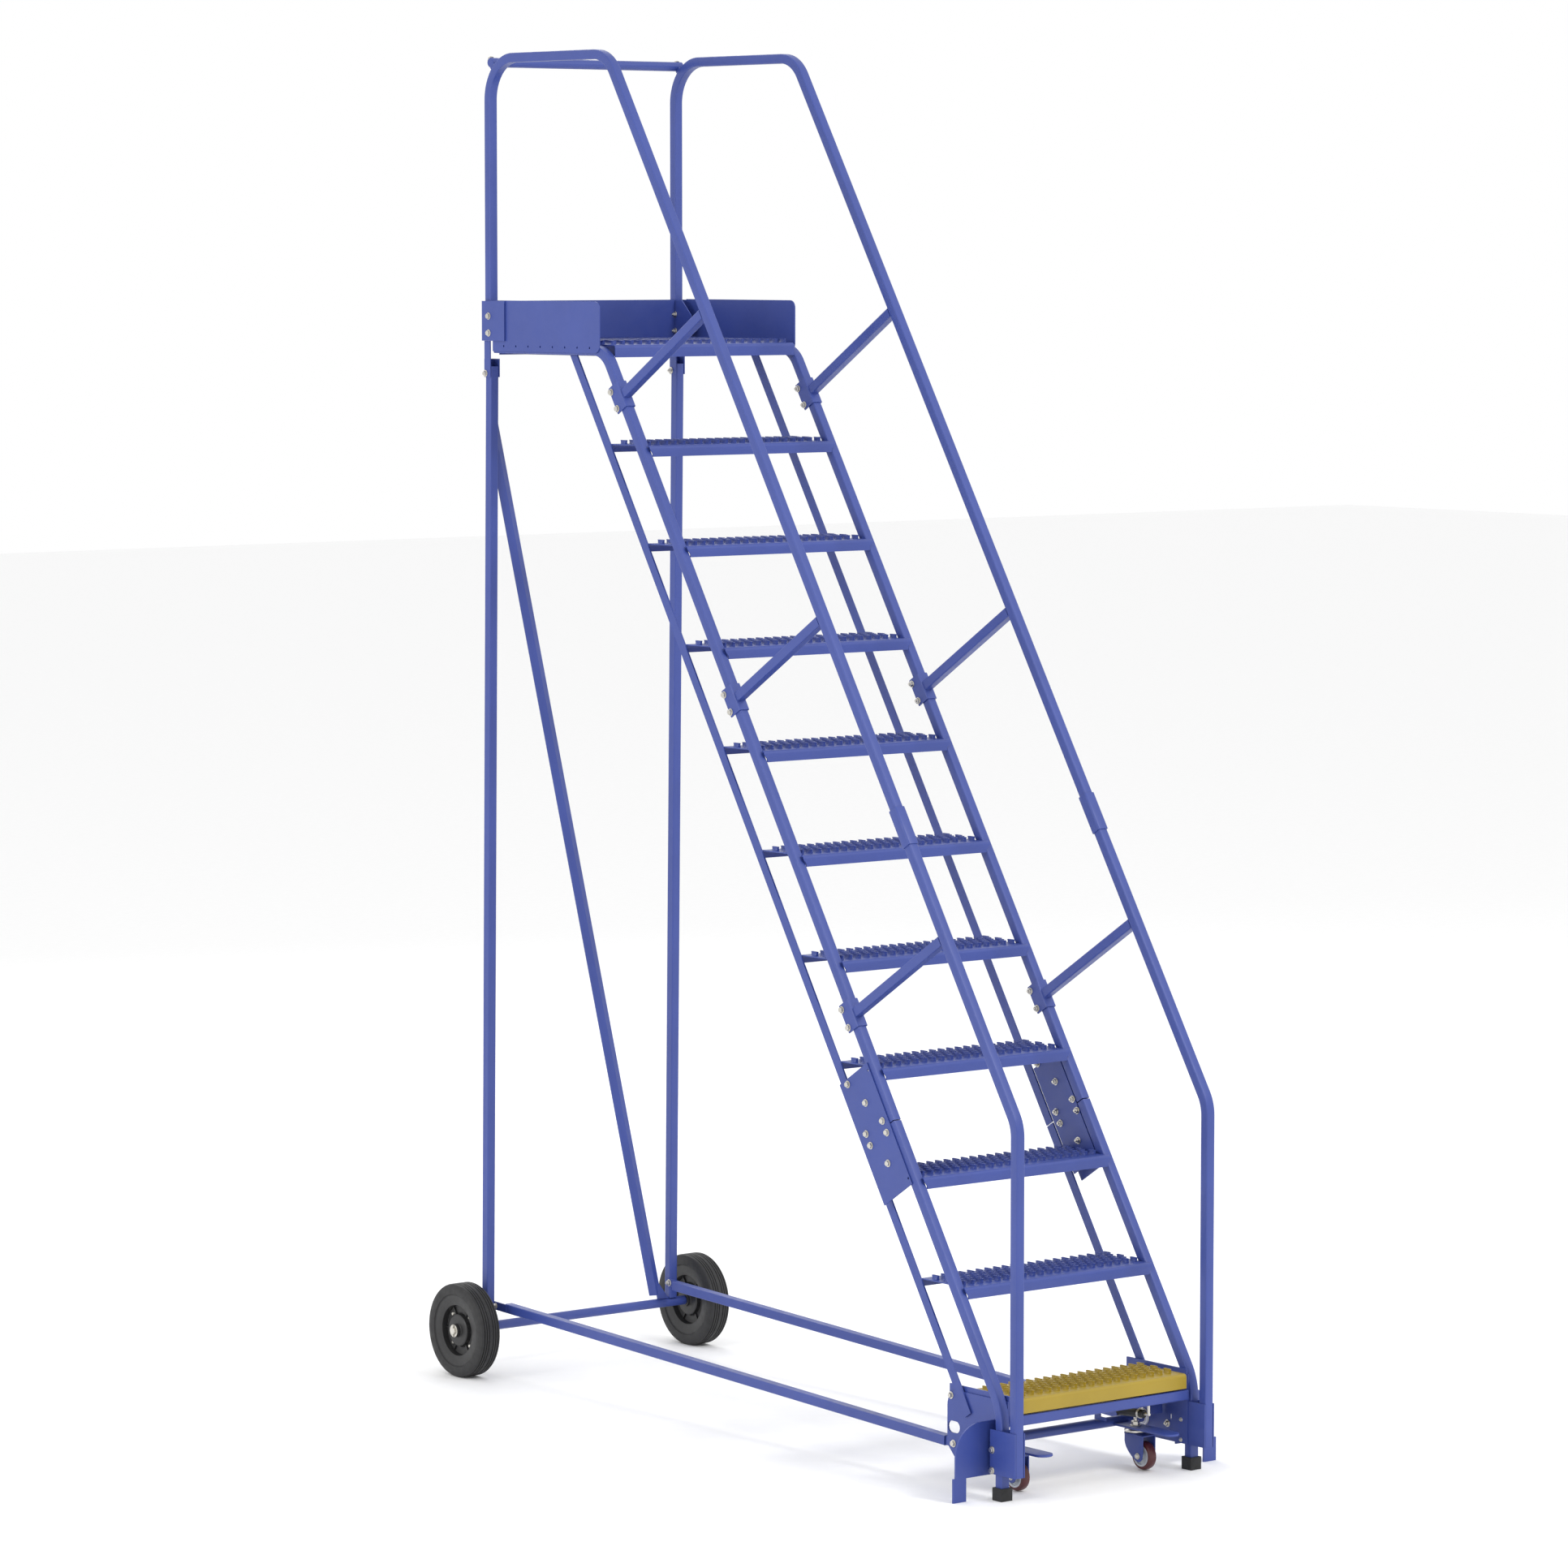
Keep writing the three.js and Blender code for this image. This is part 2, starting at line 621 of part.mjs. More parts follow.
function rearAxle() {
  const tube = 358;
  const tip = 432;
  return joined(rodX(half, -tube, tube, AXLE_Y, axleZ, 16), rodX(9.5, -tip, tip, AXLE_Y, axleZ, 12));
}

// Solid tyre with a dished hub. The ring has an even number of flats, one of them on the floor.
function rearWheel() {
  const sides = 24;
  const bore = 10.2;
  const outer = WHEEL_RADIUS / Math.cos(Math.PI / sides);
  const halfSection = [
    [bore, 32], [18, 32], [18, 23], [44, 21], [46, 8], [67, 8], [67, 24], [97, 30],
    [118, 32], [outer, 27],
  ];
  const farHalf = halfSection.map(([radius, along]) => [radius, -along]).reverse();
  return turnedX([...halfSection, ...farHalf].reverse(), sides, WHEEL_X, AXLE_Y, axleZ);
}

// Low tube from the base plate to the upright, with a flattened tab at each end.
function baseRail() {
  const x = 284;
  const frontBolt = [55, 107.5];
  const rearBolt = [1992, 184];
  const climb = (rearBolt[1] - frontBolt[1]) / (rearBolt[0] - frontBolt[0]);
  const height = (y) => frontBolt[1] + climb * (y - frontBolt[0]);
  const tab = (x0, x1, y0, y1, round) => plateX(outline([
    [y0, height(y0) - 11, round], [y1, height(y1) - 11, round],
    [y1, height(y1) + 11, round], [y0, height(y0) + 11, round],
  ]), x0, x1, 1);
  const tube = straightTube([x, 92, height(92)], [x, 1950, height(1950)]);
  const frontTab = tab(x + 3.9, 292.7, 43, 100, 5);
  const rearTab = tab(294, UPRIGHT_X - half - GAP, 1942, 2006, 5);
  return joined(tube, frontTab, rearTab);
}

addPair('rear_upright', rearUpright(), blue);
addPair('upright_socket', uprightSocket(), blue);
add('diagonal_brace', diagonalBrace(), blue);
add('rear_axle', rearAxle(), blue);
addPair('rear_wheel', rearWheel(), tyre);
addPair('base_rail', baseRail(), blue);

// ---- base
// Outer and inner side plates, the wing that widens the stance, and its leg.
function baseSidePlate() {
  const sideHoles = [obround(54, 149, 46, 30), obround(-87, 125.5, 6, 15)];
  const side = outline([
    [-151, 64], [40, 64], [79, 104], [79, 242, 40], [-151, 242],
  ], sideHoles);
  const outer = plateX(side, 293, STEP_HALF_WIDTH);
  const inner = box(288.2, 293.5, -150, 75, 179, 255);
  const wingShape = outline([[296, 58], [424, 58], [424, 191.5, 79], [296, 191.5]]);
  const wing = plateY(wingShape, -105, -100, 6);
  const leg = box(390.6, 431.5, -105, -100, 0, 60);
  return joined(outer, inner, wing, leg);
}

function baseCrossBeam() {
  const reach = 287.9;
  return straightTube([-reach, baseFront + half, 191.7], [reach, baseFront + half, 191.7]);
}

addPair('base_side_plate', baseSidePlate(), blue);
add('base_cross_beam', baseCrossBeam(), blue);

// ---- lock-step: a shaft with two pedals, each carrying a caster
const pedalBottom = SHAFT_Z - 7.6;
const pedalTop = SHAFT_Z - 2;
const forkTop = pedalBottom - 10.4;
const stemRadius = 6;

function pedal(side) {
  const x = side * PEDAL_X;
  const width = 25;
  const front = -202;
  const shape = outline([
    [x - width, SHAFT_Y - 8], [x - width, front, 24], [x + width, front, 24], [x + width, SHAFT_Y - 8],
  ]);
  return [
    plateZ(shape, pedalBottom, pedalTop, 3),
    rodZ(28.5, x, STEM_Y, forkTop + 0.6, pedalBottom + 0.3, 16),
    rodZ(stemRadius, x, STEM_Y, forkTop - 8, pedalTop + 21, 10),
    rodZ(10, x, STEM_Y, forkTop - 8, forkTop - 3.6, 10),
    rodZ(11, x, STEM_Y, pedalTop - 0.5, pedalTop + 12, 6),
  ];
}

function lockShaft() {
  const reach = 292.7;
  const shaft = rodX(half, -reach, reach, SHAFT_Y, SHAFT_Z, 16);
  return joined(shaft, ...pedal(1), ...pedal(-1));
}

// Plate with a catch notch that stands on the shaft.
function lockPlate() {
  const shape = outline([
    [7, 124.1], [-28, 124.1], [-28, 133], [-7, 133], [-7, 142], [-19, 144],
    [-62, 173], [-62, 200, 8], [12, 200, 8], [14, 124.1],
  ], [circle(-19, 166, 4.5)]);
  return plateX(shape, 128, 132, 4);
}

function casterFork() {
  const legOuter = 22;
  const legInner = 19;
  const leg = outline([
    [STEM_Y + 16, forkTop - 1], [CASTER_Y - 16, forkTop - 1], [CASTER_Y - 16, CASTER_Z - 14, 8],
    [CASTER_Y + 4, CASTER_Z - 14, 8], [STEM_Y + 14, CASTER_Z + 26, 10],
  ]);
  const crown = plateZ(outline([
    [-legOuter, CASTER_Y - 16, 3], [legOuter, CASTER_Y - 16, 3], [legOuter, STEM_Y + 16, 12],
    [-legOuter, STEM_Y + 16, 12],
  ]), forkTop - 3, forkTop, 1);
  const race = rodZ(28.5, 0, STEM_Y, forkTop - 3, forkTop, 16);
  const legs = [
    plateX(leg, legInner, legOuter, 2),
    plateX(leg, -legOuter, -legInner, 2),
  ];
  const axle = rodX(4, -legOuter - 1, legOuter + 1, CASTER_Y, CASTER_Z, 8);
  const hole = rodZ(stemRadius + 0.8, 0, STEM_Y, forkTop - 10, forkTop + 10, 10);
  return cut(joined(crown, race, ...legs, axle), hole).translate(PEDAL_X, 0, 0);
}

function casterWheel() {
  const sides = 20;
  const halfSection = [[4.6, 16], [9, 16], [11, 8], [23, 9], [24, 12.5], [CASTER_RADIUS, 10]];
  const farHalf = halfSection.map(([radius, along]) => [radius, -along]).reverse();
  return turnedX([...halfSection, ...farHalf].reverse(), sides, PEDAL_X, CASTER_Y, CASTER_Z);
}

add('lock_shaft', lockShaft(), blue);
add('lock_plate', lockPlate(), blue);
addPair('caster_fork', casterFork(), blue);
addPair('caster_wheel', casterWheel(), maroon);

export default ladder;
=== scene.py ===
"""Rolling warehouse ladder: the finished look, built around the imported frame.

Shapes are drawn in millimetres, with y = 0 at the front edge of the second step, as the ladder's
own drawing has it, and turned into metres in the frame when a piece is made.
"""

import math
import random

import bmesh
import bpy
from mathutils import Matrix, Vector


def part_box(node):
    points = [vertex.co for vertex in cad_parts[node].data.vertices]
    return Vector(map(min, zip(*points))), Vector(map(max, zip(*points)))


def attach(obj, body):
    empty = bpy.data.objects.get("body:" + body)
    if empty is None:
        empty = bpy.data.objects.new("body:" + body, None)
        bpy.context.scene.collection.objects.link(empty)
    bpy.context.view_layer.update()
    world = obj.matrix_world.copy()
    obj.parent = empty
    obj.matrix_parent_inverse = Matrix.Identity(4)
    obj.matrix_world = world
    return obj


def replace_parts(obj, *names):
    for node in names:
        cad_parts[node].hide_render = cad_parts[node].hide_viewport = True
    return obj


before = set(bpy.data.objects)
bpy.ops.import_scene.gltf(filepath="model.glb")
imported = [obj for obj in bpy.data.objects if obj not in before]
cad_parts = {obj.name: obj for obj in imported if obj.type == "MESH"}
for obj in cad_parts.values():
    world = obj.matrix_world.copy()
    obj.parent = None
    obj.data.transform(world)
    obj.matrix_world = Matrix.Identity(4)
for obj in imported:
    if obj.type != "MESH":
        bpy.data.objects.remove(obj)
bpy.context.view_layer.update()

MM = 0.001

# The stair: rise and going of one step, and the square tube and sheet that it is made of.
RISE = 254.0
GOING = 159.8
LEVELS = 11
LIP = 33.0
NOSE = 9.0
NOSE_OVERHANG = 1.5
SHEET = 2.6
TUBE = 25.4
TUBE_RADIUS = 3.2
HALF = TUBE / 2
PLATE = 2.9
GAP = 0.3
SIDES = {"left": -1, "right": 1}
SIDE_X = 310.5

# Handrails: posts, top rail, bends and the sleeve that joins their two halves.
PLATFORM_Z = LEVELS * RISE
RAIL_Z = PLATFORM_Z + 753.4
POST_FRONT_Y = -199.6
POST_REAR_Y = 1974.0
POST_FOOT_Z = 64.0
HANDRAIL_OFFSET = -483.9
KNEE_BEND = 100.0
TOP_BEND = 97.0
REAR_BEND = 110.0
SLEEVE_S = 1096.0
SLEEVE_REACH = 51.75
SLEEVE_SIDE = 31.4

# Stringers: foot, bends and the splice between their two halves.
FOOT_Y = -146.6
FOOT_Z = 10.0
STRINGER_OFFSET = 12.1
STRINGER_TOP_Z = PLATFORM_Z - 15.4
STRINGER_REAR = 1947.0
FOOT_BEND = 150.0
PLATFORM_BEND = 80.0
SPLICE_S = 490.0
SPLICE_BOLTS = ((16, 40), (-16, 40), (16, 129), (-16, 129), (83.5, 83), (-83.5, 83), (154, 129.5))

# Base side plates and the lock-step between them.
BASE_X = 297.5
SHAFT_Y = 15.0
SHAFT_Z = 110.0
SHAFT_REACH = 292.7
PEDAL_X = 208.0
PEDAL_HALF = 25
PEDAL_NOSE_Y = -178
PEDAL_SHEET = 5.6
PEDAL_BOTTOM = SHAFT_Z - 7.6
STEM_Y = -51.0
FORK_TOP = 92.0

EDGE_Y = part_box("step_2")[0].y + NOSE_OVERHANG * MM
ANGLE = math.atan2(RISE, GOING)
SLOPE_Z = 2 * RISE - LIP


# ---------------------------------------------------------------- lines and places
def slope_y(offset, z):
    """Where the sloping line with that horizontal offset passes height z."""
    return offset + (z - SLOPE_Z) * GOING / RISE


def slope_z(offset, y):
    """Height of the sloping line with that horizontal offset at y."""
    return SLOPE_Z + (y - offset) * RISE / GOING


def on_slope(s, offset):
    """The point s along the slope, on the sloping line with that horizontal offset."""
    y = s * math.cos(ANGLE) + offset * math.sin(ANGLE) ** 2
    z = SLOPE_Z + s * math.sin(ANGLE) - offset * math.sin(ANGLE) * math.cos(ANGLE)
    return y, z


def centre_mm(node):
    """Middle of a CAD node, in the drawing's millimetres."""
    low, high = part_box(node)
    middle = (low + high) / 2
    return Vector((middle.x, middle.y - EDGE_Y, middle.z)) / MM


# ---------------------------------------------------------------- materials
def node_tree(name):
    """A new material, its node tree and its shader."""
    material = bpy.data.materials.new(name)
    material.use_nodes = True
    tree = material.node_tree
    return material, tree, tree.nodes["Principled BSDF"]


def noise(tree, scale, detail=4.0, roughness=0.55):
    """Noise over the object's own coordinates."""
    coordinates = tree.nodes.new("ShaderNodeTexCoord")
    texture = tree.nodes.new("ShaderNodeTexNoise")
    texture.inputs["Scale"].default_value = scale
    texture.inputs["Detail"].default_value = detail
    texture.inputs["Roughness"].default_value = roughness
    tree.links.new(coordinates.outputs["Object"], texture.inputs["Vector"])
    return texture.outputs["Fac"]


def ramp(tree, factor, stops):
    """Colours picked along a factor from (position, colour) stops."""
    node = tree.nodes.new("ShaderNodeValToRGB")
    elements = node.color_ramp.elements
    while len(elements) < len(stops):
        elements.new(0.5)
    for element, (position, color) in zip(elements, stops):
        element.position = position
        element.color = (*color, 1.0)
    tree.links.new(factor, node.inputs["Fac"])
    return node.outputs["Color"]


def spread(tree, factor, low, high):
    """The middle of a noise factor, stretched over low to high."""
    node = tree.nodes.new("ShaderNodeMapRange")
    node.inputs["From Min"].default_value = 0.3
    node.inputs["From Max"].default_value = 0.7
    node.inputs["To Min"].default_value = low
    node.inputs["To Max"].default_value = high
    tree.links.new(factor, node.inputs["Value"])
    return node.outputs["Result"]


def bump(tree, shader, height, distance, strength):
    node = tree.nodes.new("ShaderNodeBump")
    node.inputs["Strength"].default_value = strength
    node.inputs["Distance"].default_value = distance
    tree.links.new(height, node.inputs["Height"])
    tree.links.new(node.outputs["Normal"], shader.inputs["Normal"])


def shade(color, factor):
    """A lighter or darker tone of a colour."""
    return tuple(min(1.0, channel * factor) for channel in color)


def powder_coat(name, color, rough=(0.36, 0.5)):
    """Sprayed powder: cloudy tone, small darker rub marks and a fine orange-peel skin."""
    material, tree, shader = node_tree(name)
    cloud = ramp(tree, noise(tree, 5.0), [(0.3, shade(color, 0.93)), (0.7, shade(color, 1.06))])
    rubs = ramp(tree, noise(tree, 38.0, 8.0, 0.7), [(0.27, (0.8, 0.8, 0.8)), (0.36, (1, 1, 1))])
    mix = tree.nodes.new("ShaderNodeMix")
    mix.data_type = "RGBA"
    mix.blend_type = "MULTIPLY"
    mix.inputs["Factor"].default_value = 0.35
    tree.links.new(cloud, mix.inputs["A"])
    tree.links.new(rubs, mix.inputs["B"])
    tree.links.new(mix.outputs["Result"], shader.inputs["Base Color"])
    tree.links.new(spread(tree, noise(tree, 30.0), *rough), shader.inputs["Roughness"])
    shader.inputs["Coat Weight"].default_value = 0.08
    shader.inputs["Coat Roughness"].default_value = 0.3
    bump(tree, shader, noise(tree, 700.0, 2.0), 0.0003, 0.35)
    return material


def plain_surface(name, color, rough, metallic=0.0, grain=300.0, depth=0.0004, contrast=0.12):
    """One colour with cloudy tone, uneven gloss and a fine grain."""
    material, tree, shader = node_tree(name)
    stops = [(0.3, shade(color, 1 - contrast)), (0.7, shade(color, 1 + contrast))]
    tree.links.new(ramp(tree, noise(tree, 24.0, 6.0), stops), shader.inputs["Base Color"])
    tree.links.new(spread(tree, noise(tree, 60.0), *rough), shader.inputs["Roughness"])
    shader.inputs["Metallic"].default_value = metallic
    bump(tree, shader, noise(tree, grain, 3.0), depth, 0.4)
    return material


BLUE = powder_coat("blue_powder_coat", (0.034, 0.06, 0.27))
YELLOW = powder_coat("yellow_powder_coat", (0.34, 0.235, 0.014))
RUBBER = plain_surface("foot_rubber", (0.012, 0.012, 0.013), (0.6, 0.8))
TYRE = plain_surface("tyre_rubber", (0.014, 0.014, 0.015), (0.5, 0.68), grain=180.0)
HUB = plain_surface("moulded_hub", (0.016, 0.016, 0.017), (0.38, 0.5))
MAROON = plain_surface("maroon_tread", (0.085, 0.016, 0.019), (0.3, 0.42), contrast=0.18)
ZINC = plain_surface("zinc_plate", (0.62, 0.6, 0.55), (0.25, 0.4), 1.0, 500.0, 0.0002)
GREY = plain_surface("grey_rim", (0.45, 0.48, 0.52), (0.4, 0.5))
WHITE = plain_surface("white_nylon", (0.68, 0.69, 0.72), (0.4, 0.5))
BLACK = plain_surface("black_damper", (0.008, 0.008, 0.009), (0.35, 0.5))
FLOOR = plain_surface("pale_floor", (0.94, 0.94, 0.94), (0.7, 0.8), contrast=0.01)


# ---------------------------------------------------------------- mesh building
class Shape:
    """Vertices and faces in millimetres; shapes add up into one piece."""

    def __init__(self):
        self.points = []
        self.faces = []

    def add(self, points, faces):
        start = len(self.points)
        self.points.extend(Vector(point) for point in points)
        self.faces.extend([start + index for index in face] for face in faces)
        return self

    def merge(self, other, matrix=None):
        points = [matrix @ p for p in other.points] if matrix else other.points
        return self.add(points, other.faces)


def make(name, shape, material, body="frame", smooth=30.0, bevel=0.0):
    """One mesh piece in the frame's metres, riding on a body."""
    mesh = bpy.data.meshes.new(name)
    place = [Vector((p.x * MM, p.y * MM + EDGE_Y, p.z * MM)) for p in shape.points]
    mesh.from_pydata(place, [], shape.faces)
    work = bmesh.new()
    work.from_mesh(mesh)
    bmesh.ops.remove_doubles(work, verts=work.verts, dist=1e-7)
    bmesh.ops.recalc_face_normals(work, faces=work.faces)
    if bevel:
        sharp = [e for e in work.edges if len(e.link_faces) == 2 and e.calc_face_angle() > 0.6]
        bmesh.ops.bevel(work, geom=sharp, offset=bevel * MM, segments=2, profile=0.6,
                        affect="EDGES")
    work.to_mesh(mesh)
    work.free()
    mesh.shade_smooth()
    mesh.set_sharp_from_angle(angle=math.radians(smooth))
    piece = bpy.data.objects.new(name, mesh)
    bpy.context.collection.objects.link(piece)
    mesh.materials.append(material)
    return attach(piece, body)


def rounded_square(side, radius, steps=4):
    """Outline of a square tube with rounded corners."""
    inner = side / 2 - radius
    corners = [(inner, inner), (-inner, inner), (-inner, -inner), (inner, -inner)]
    points = []
    for quarter, (x, y) in enumerate(corners):
        for k in range(steps + 1):
            turn = math.pi / 2 * (quarter + k / steps)
            points.append((x + radius * math.cos(turn), y + radius * math.sin(turn)))
    return points


def loft(rings, closed=False):
    """Skin a list of rings of points; the ends are capped unless the loft is closed."""
    shape = Shape()
    count = len(rings[0])
    faces = []
    for i in range(len(rings) if closed else len(rings) - 1):
        a = i * count
        b = (i + 1) % len(rings) * count
        for k in range(count):
            n = (k + 1) % count
            faces.append([a + k, a + n, b + n, b + k])
    if not closed:
        last = (len(rings) - 1) * count
        faces.append(list(range(count))[::-1])
        faces.append([last + k for k in range(count)])
    return shape.add([p for ring in rings for p in ring], faces)


def bent_stations(corners, step=math.radians(4)):
    """Centre-line stations in y and z: straight runs joined by round bends."""
    stations = []
    for i, corner in enumerate(corners):
        here = Vector(corner[:2])
        before = Vector(corners[max(i - 1, 0)][:2])
        after = Vector(corners[min(i + 1, len(corners) - 1)][:2])
        if len(corner) == 2:
            stations.append((here, (after - before).normalized()))
            continue
        into = (here - before).normalized()
        out = (after - here).normalized()
        turn = into.angle(out)
        start = here - into * corner[2] * math.tan(turn / 2)
        inward = (out - into * math.cos(turn)).normalized()
        facets = math.ceil(turn / step)
        for k in range(facets + 1):
            a = turn * k / facets
            at = (start + inward * corner[2] * (1 - math.cos(a))
                  + into * corner[2] * math.sin(a))
            stations.append((at, into * math.cos(a) + inward * math.sin(a)))
    return stations


def bent_tube(x, corners, side=TUBE, radius=TUBE_RADIUS):
    """Square tube in the plane at x; a corner with a third value is bent to that radius."""
    rings = []
    for at, along in bent_stations(corners):
        normal = Vector((-along.y, along.x))
        rings.append([(x + u, at.x + normal.x * v, at.y + normal.y * v)
                      for u, v in rounded_square(side, radius)])
    return loft(rings)


def box(x0, x1, y0, y1, z0, z1):
    """A rectangular bar between those limits, for parts that are cut from flat stock."""
    rings = [[(x0, y0, z), (x1, y0, z), (x1, y1, z), (x0, y1, z)] for z in (z0, z1)]
    return loft(rings)


def axes(origin, direction):
    """A matrix whose z axis points along direction."""
    turn = Vector(direction).to_track_quat("Z", "Y").to_matrix().to_4x4()
    return Matrix.Translation(Vector(origin)) @ turn


def turned(profile, segments=48, closed=False):
    """A solid turned about z from (radius, height) points; closed makes a ring with a bore."""
    rings = []
    for k in range(segments):
        a = 2 * math.pi * k / segments
        rings.append([(r * math.cos(a), r * math.sin(a), h) for r, h in profile])
    count = len(profile)
    shape = Shape()
    faces = []
    for i in range(segments):
        a = i * count
        b = (i + 1) % segments * count
        for k in range(count if closed else count - 1):
            n = (k + 1) % count
            faces.append([a + k, b + k, b + n, a + n])
    if not closed:
        faces.append([i * count for i in range(segments)][::-1])
        faces.append([i * count + count - 1 for i in range(segments)])
    return shape.add([p for ring in rings for p in ring], faces)


def rod(radius, length, chamfer=0.8, segments=32):
    """Round bar along z with chamfered ends."""
    c = min(chamfer, radius / 2)
    profile = [(radius - c, 0), (radius, c), (radius, length - c), (radius - c, length)]
    return turned(profile, segments)


def prism(points, depth):
    """Outline in x and y, from z = 0 up to depth."""
    return loft([[(x, y, z) for x, y in points] for z in (0, depth)])


# ---------------------------------------------------------------- fasteners
WASHER_TOP = 1.5


def hexagon(across):
    """Corners of a hexagon of that width across its flats."""
    radius = across / math.sqrt(3)
    turns = [math.pi / 3 * k for k in range(6)]
    return [(radius * math.cos(a), radius * math.sin(a)) for a in turns]


def bolt_head(across=12.7, height=5.5, washer=9.5):
    """Hex head with a chamfered crown on a washer, seated at z = 0."""
    shape = turned([(washer - 0.4, 0), (washer, 0.4), (washer, 1.2), (washer - 0.4, 1.6)], 24)
    rings = []
    for z, scale in ((0, 1.0), (height * 0.8, 1.0), (height, 0.86)):
        rings.append([(x * scale, y * scale, WASHER_TOP + z) for x, y in hexagon(across)])
    return shape.merge(loft(rings))


def nut_end(across=12.7, height=6.0, washer=9.5, stub=4.0):
    """Nut on a washer, with the bolt's chamfered end standing out of it."""
    shape = bolt_head(across, height, washer)
    thread = turned([(across * 0.28, 0), (across * 0.28, WASHER_TOP + height + stub - 0.8),
                     (across * 0.22, WASHER_TOP + height + stub)], 16)
    return shape.merge(thread)


FASTENERS = {}


def fasten(body, shape, origin, direction):
    """Collect fasteners per body, so each body carries one set of zinc hardware."""
    group = FASTENERS.setdefault(body, Shape())
    spin = Matrix.Rotation(random.Random(len(group.points)).uniform(0, 1.0), 4, "Z")
    group.merge(shape, axes(origin, direction) @ spin)


def through_bolt(x_head, x_nut, y, z, body="frame", across=12.7):
    """Head on one side and nut on the other, along x."""
    outward = 1 if x_head > x_nut else -1
    fasten(body, bolt_head(across), (x_head, y, z), (outward, 0, 0))
    fasten(body, nut_end(across), (x_nut, y, z), (-outward, 0, 0))


# ---------------------------------------------------------------- handrails and stringers
def handrails():
    """Both handrails: post and lower rail with its bracket plates, hoop, and joining sleeve."""
    corner_y = slope_y(HANDRAIL_OFFSET, RAIL_Z)
    post_z = slope_z(HANDRAIL_OFFSET, POST_FRONT_Y)
    for side, s in SIDES.items():
        x = s * SIDE_X
        lower = bent_tube(x, [
            (POST_FRONT_Y, POST_FOOT_Z), (POST_FRONT_Y, post_z, KNEE_BEND),
            on_slope(SLEEVE_S - 0.5, HANDRAIL_OFFSET)])
        front = POST_FRONT_Y - HALF
        top = POST_FOOT_Z + 110
        outer = sorted((s * (SIDE_X + HALF + GAP), s * (SIDE_X + HALF + GAP + PLATE)))
        inner = sorted((s * (SIDE_X - HALF - GAP), s * (SIDE_X - HALF - GAP - PLATE)))
        lower.merge(box(*outer, front, -118, POST_FOOT_Z, top))
        lower.merge(box(*inner, front, -151.5, POST_FOOT_Z, top))
        piece = make(f"lower_handrail_{side}", lower, BLUE)
        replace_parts(piece, f"handrail_lower_{side}")
        upper = bent_tube(x, [
            on_slope(SLEEVE_S + 0.5, HANDRAIL_OFFSET), (corner_y, RAIL_Z, TOP_BEND),
            (POST_REAR_Y, RAIL_Z, REAR_BEND), (POST_REAR_Y, PLATFORM_Z + 7)])
        piece = make(f"upper_handrail_{side}", upper, BLUE)
        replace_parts(piece, f"handrail_upper_{side}")
        start = on_slope(SLEEVE_S - SLEEVE_REACH, HANDRAIL_OFFSET)
        end = on_slope(SLEEVE_S + SLEEVE_REACH, HANDRAIL_OFFSET)
        sleeve = bent_tube(x, [start, end], SLEEVE_SIDE, 4.5)
        sleeve = make(f"rail_sleeve_{side}", sleeve, BLUE, bevel=0.5)
        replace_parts(sleeve, f"handrail_sleeve_{side}")


def stringers():
    """Front stringers, in two halves with the splice between them."""
    foot_z = slope_z(STRINGER_OFFSET, FOOT_Y)
    top_y = slope_y(STRINGER_OFFSET, STRINGER_TOP_Z)
    for side, s in SIDES.items():
        x = s * SIDE_X
        lower = bent_tube(x, [
            (FOOT_Y, FOOT_Z), (FOOT_Y, foot_z, FOOT_BEND),
            on_slope(SPLICE_S - 1.5, STRINGER_OFFSET)])
        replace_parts(make(f"lower_stringer_{side}", lower, BLUE), f"front_stringer_lower_{side}")
        upper = bent_tube(x, [
            on_slope(SPLICE_S + 1.5, STRINGER_OFFSET),
            (top_y, STRINGER_TOP_Z, PLATFORM_BEND), (STRINGER_REAR, STRINGER_TOP_Z)])
        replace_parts(make(f"upper_stringer_{side}", upper, BLUE), f"front_stringer_upper_{side}")


# ---------------------------------------------------------------- grip treads
STEP_HALF = 297.5
BOTTOM_STEP_HALF = 280.5
FLANGE_EAR = 9.5
STEP_SUNK = 4.5
BOTTOM_STEP_SUNK = 8.5
PITCH_X = 28.2
PITCH_Y = 25.35
STEP_ROWS = 5
PLATFORM_ROWS = 19
GRIP_HEIGHT = 10.5
GRIP_SIDES = 16
# Rings of a tooth from foot to dish: half width, half length, share of its height, squareness.
GRIP_PROFILE = (
    (9.4, 10.6, 0.0, 2.0), (6.6, 10.9, 0.22, 2.3), (4.6, 11.2, 0.62, 3.0),
    (3.9, 12.4, 1.0, 5.0), (2.6, 11.2, 0.97, 5.0), (1.4, 8.4, 0.72, 3.0))


def grip_tooth(x, y, top):
    """A pressed tooth, long from front to rear: round foot, concave flanks, sharp rim, dish."""
    rings = []
    for half_x, half_y, height, power in GRIP_PROFILE:
        ring = []
        for k in range(GRIP_SIDES):
            a = math.tau * (k + 0.5) / GRIP_SIDES
            c, d = math.cos(a), math.sin(a)
            ring.append((x + half_x * math.copysign(abs(c) ** (2 / power), c),
                         y + half_y * math.copysign(abs(d) ** (2 / power), d),
                         top + GRIP_HEIGHT * height))
        rings.append(ring)
    return loft(rings)


